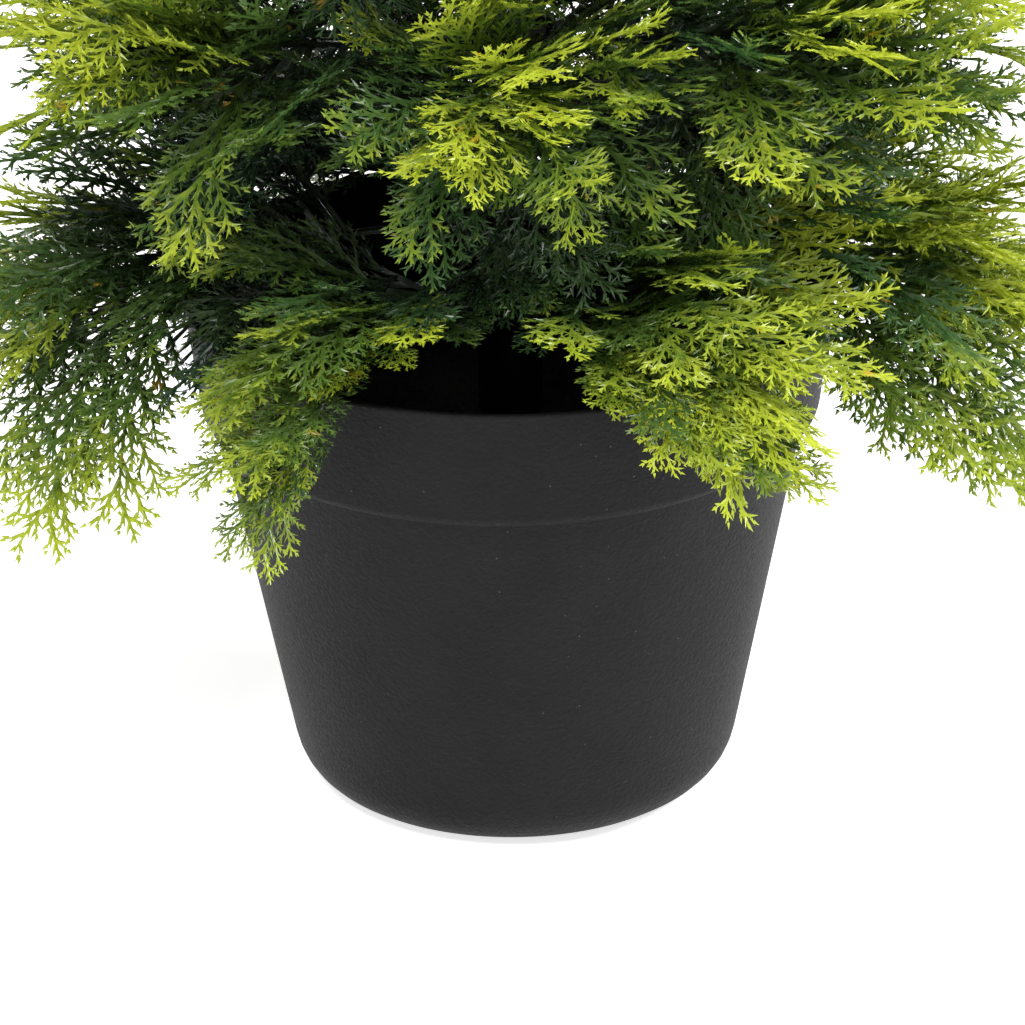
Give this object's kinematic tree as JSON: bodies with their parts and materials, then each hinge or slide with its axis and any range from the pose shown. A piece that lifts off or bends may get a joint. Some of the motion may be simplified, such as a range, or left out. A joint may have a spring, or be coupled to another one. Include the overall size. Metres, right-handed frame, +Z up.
{
  "type": "artificial tabletop tree",
  "caption": "Artificial cedar tabletop tree with layered, hinged fan-shaped branches on an upright trunk, weighted in a plain black nursery pot with a wide collar.",
  "frame": {"origin": "centre of the pot's flat foot, on the surface it stands on", "axes": "+Z up along the trunk, -Y the front, +X the front's right"},
  "size_m": [0.3532, 0.3396, 0.61],
  "materials": {
    "pot_plastic": "fine moulded grain, matte",
    "ballast_cement": "cast cement",
    "plug_foam": null,
    "pole_steel": "dark coated steel tube",
    "sleeve_plastic": "glossy black tube",
    "holder_plastic": "moulded, satin",
    "ring_wire": "drawn wire",
    "stem_coating": "wire in a dark green coating, satin",
    "foliage": null
  },
  "bodies": {
    "tree": {"pot": "pot_plastic", "ballast": "ballast_cement", "foam_plug": "plug_foam", "trunk_pole": "pole_steel", "trunk_sleeve": "sleeve_plastic", "tier_1_holder": "holder_plastic", "tier_1_hinge_ring": "ring_wire", "tier_2_holder": "holder_plastic", "tier_2_hinge_ring": "ring_wire", "tier_3_holder": "holder_plastic", "tier_3_hinge_ring": "ring_wire", "tier_4_holder": "holder_plastic", "tier_4_hinge_ring": "ring_wire", "leader_socket": "holder_plastic", "leader_pin": "ring_wire"},
    "tier_1_branch_1": {"tier_1_branch_1_wire": "stem_coating", "tier_1_branch_1_spray": "foliage"},
    "tier_1_branch_2": {"tier_1_branch_2_wire": "stem_coating", "tier_1_branch_2_spray": "foliage"},
    "tier_1_branch_3": {"tier_1_branch_3_wire": "stem_coating", "tier_1_branch_3_spray": "foliage"},
    "tier_1_branch_4": {"tier_1_branch_4_wire": "stem_coating", "tier_1_branch_4_spray": "foliage"},
    "tier_1_branch_5": {"tier_1_branch_5_wire": "stem_coating", "tier_1_branch_5_spray": "foliage"},
    "tier_1_branch_6": {"tier_1_branch_6_wire": "stem_coating", "tier_1_branch_6_spray": "foliage"},
    "tier_2_branch_1": {"tier_2_branch_1_wire": "stem_coating", "tier_2_branch_1_spray": "foliage"},
    "tier_2_branch_2": {"tier_2_branch_2_wire": "stem_coating", "tier_2_branch_2_spray": "foliage"},
    "tier_2_branch_3": {"tier_2_branch_3_wire": "stem_coating", "tier_2_branch_3_spray": "foliage"},
    "tier_2_branch_4": {"tier_2_branch_4_wire": "stem_coating", "tier_2_branch_4_spray": "foliage"},
    "tier_2_branch_5": {"tier_2_branch_5_wire": "stem_coating", "tier_2_branch_5_spray": "foliage"},
    "tier_2_branch_6": {"tier_2_branch_6_wire": "stem_coating", "tier_2_branch_6_spray": "foliage"},
    "tier_3_branch_1": {"tier_3_branch_1_wire": "stem_coating", "tier_3_branch_1_spray": "foliage"},
    "tier_3_branch_2": {"tier_3_branch_2_wire": "stem_coating", "tier_3_branch_2_spray": "foliage"},
    "tier_3_branch_3": {"tier_3_branch_3_wire": "stem_coating", "tier_3_branch_3_spray": "foliage"},
    "tier_3_branch_4": {"tier_3_branch_4_wire": "stem_coating", "tier_3_branch_4_spray": "foliage"},
    "tier_3_branch_5": {"tier_3_branch_5_wire": "stem_coating", "tier_3_branch_5_spray": "foliage"},
    "tier_4_branch_1": {"tier_4_branch_1_wire": "stem_coating", "tier_4_branch_1_spray": "foliage"},
    "tier_4_branch_2": {"tier_4_branch_2_wire": "stem_coating", "tier_4_branch_2_spray": "foliage"},
    "tier_4_branch_3": {"tier_4_branch_3_wire": "stem_coating", "tier_4_branch_3_spray": "foliage"},
    "tier_4_branch_4": {"tier_4_branch_4_wire": "stem_coating", "tier_4_branch_4_spray": "foliage"},
    "leader": {"leader_wire": "stem_coating", "leader_spray": "foliage"}
  },
  "joints": [
    {"name": "tier_1_branch_1_hinge", "type": "hinge", "parent": "tree", "child": "tier_1_branch_1", "pos_m": [0.0065, -0.01126, 0.172], "axis": [-0.866, -0.5, 0], "range_deg": [-2, 25]},
    {"name": "tier_1_branch_2_hinge", "type": "hinge", "parent": "tree", "child": "tier_1_branch_2", "pos_m": [0.013, 0, 0.172], "axis": [0, -1, 0], "range_deg": [-2, 25]},
    {"name": "tier_1_branch_3_hinge", "type": "hinge", "parent": "tree", "child": "tier_1_branch_3", "pos_m": [0.0065, 0.01126, 0.172], "axis": [0.866, -0.5, 0], "range_deg": [-2, 25]},
    {"name": "tier_1_branch_4_hinge", "type": "hinge", "parent": "tree", "child": "tier_1_branch_4", "pos_m": [-0.0065, 0.01126, 0.172], "axis": [0.866, 0.5, 0], "range_deg": [-2, 25]},
    {"name": "tier_1_branch_5_hinge", "type": "hinge", "parent": "tree", "child": "tier_1_branch_5", "pos_m": [-0.013, 0, 0.172], "axis": [0, 1, 0], "range_deg": [-2, 25]},
    {"name": "tier_1_branch_6_hinge", "type": "hinge", "parent": "tree", "child": "tier_1_branch_6", "pos_m": [-0.0065, -0.01126, 0.172], "axis": [-0.866, 0.5, 0], "range_deg": [-2, 25]},
    {"name": "tier_2_branch_1_hinge", "type": "hinge", "parent": "tree", "child": "tier_2_branch_1", "pos_m": [0, -0.013, 0.228], "axis": [-1, 0, 0], "range_deg": [-10, 25]},
    {"name": "tier_2_branch_2_hinge", "type": "hinge", "parent": "tree", "child": "tier_2_branch_2", "pos_m": [0.01126, -0.0065, 0.228], "axis": [-0.5, -0.866, 0], "range_deg": [-10, 25]},
    {"name": "tier_2_branch_3_hinge", "type": "hinge", "parent": "tree", "child": "tier_2_branch_3", "pos_m": [0.01126, 0.0065, 0.228], "axis": [0.5, -0.866, 0], "range_deg": [-10, 25]},
    {"name": "tier_2_branch_4_hinge", "type": "hinge", "parent": "tree", "child": "tier_2_branch_4", "pos_m": [0, 0.013, 0.228], "axis": [1, 0, 0], "range_deg": [-10, 25]},
    {"name": "tier_2_branch_5_hinge", "type": "hinge", "parent": "tree", "child": "tier_2_branch_5", "pos_m": [-0.01126, 0.0065, 0.228], "axis": [0.5, 0.866, 0], "range_deg": [-10, 25]},
    {"name": "tier_2_branch_6_hinge", "type": "hinge", "parent": "tree", "child": "tier_2_branch_6", "pos_m": [-0.01126, -0.0065, 0.228], "axis": [-0.5, 0.866, 0], "range_deg": [-10, 25]},
    {"name": "tier_3_branch_1_hinge", "type": "hinge", "parent": "tree", "child": "tier_3_branch_1", "pos_m": [0.00764, -0.01052, 0.29], "axis": [-0.809, -0.5878, 0], "range_deg": [-10, 15]},
    {"name": "tier_3_branch_2_hinge", "type": "hinge", "parent": "tree", "child": "tier_3_branch_2", "pos_m": [0.01236, 0.00402, 0.29], "axis": [0.309, -0.9511, 0], "range_deg": [-10, 15]},
    {"name": "tier_3_branch_3_hinge", "type": "hinge", "parent": "tree", "child": "tier_3_branch_3", "pos_m": [0, 0.013, 0.29], "axis": [1, 0, 0], "range_deg": [-10, 15]},
    {"name": "tier_3_branch_4_hinge", "type": "hinge", "parent": "tree", "child": "tier_3_branch_4", "pos_m": [-0.01236, 0.00402, 0.29], "axis": [0.309, 0.9511, 0], "range_deg": [-10, 15]},
    {"name": "tier_3_branch_5_hinge", "type": "hinge", "parent": "tree", "child": "tier_3_branch_5", "pos_m": [-0.00764, -0.01052, 0.29], "axis": [-0.809, 0.5878, 0], "range_deg": [-10, 15]},
    {"name": "tier_4_branch_1_hinge", "type": "hinge", "parent": "tree", "child": "tier_4_branch_1", "pos_m": [0.00919, -0.00919, 0.352], "axis": [-0.7071, -0.7071, 0], "range_deg": [-10, 8]},
    {"name": "tier_4_branch_2_hinge", "type": "hinge", "parent": "tree", "child": "tier_4_branch_2", "pos_m": [0.00919, 0.00919, 0.352], "axis": [0.7071, -0.7071, 0], "range_deg": [-10, 8]},
    {"name": "tier_4_branch_3_hinge", "type": "hinge", "parent": "tree", "child": "tier_4_branch_3", "pos_m": [-0.00919, 0.00919, 0.352], "axis": [0.7071, 0.7071, 0], "range_deg": [-10, 8]},
    {"name": "tier_4_branch_4_hinge", "type": "hinge", "parent": "tree", "child": "tier_4_branch_4", "pos_m": [-0.00919, -0.00919, 0.352], "axis": [-0.7071, 0.7071, 0], "range_deg": [-10, 8]},
    {"name": "leader_hinge", "type": "hinge", "parent": "tree", "child": "leader", "pos_m": [0, 0, 0.4026], "axis": [0, 1, 0], "range_deg": [-15, 15]}
  ]
}
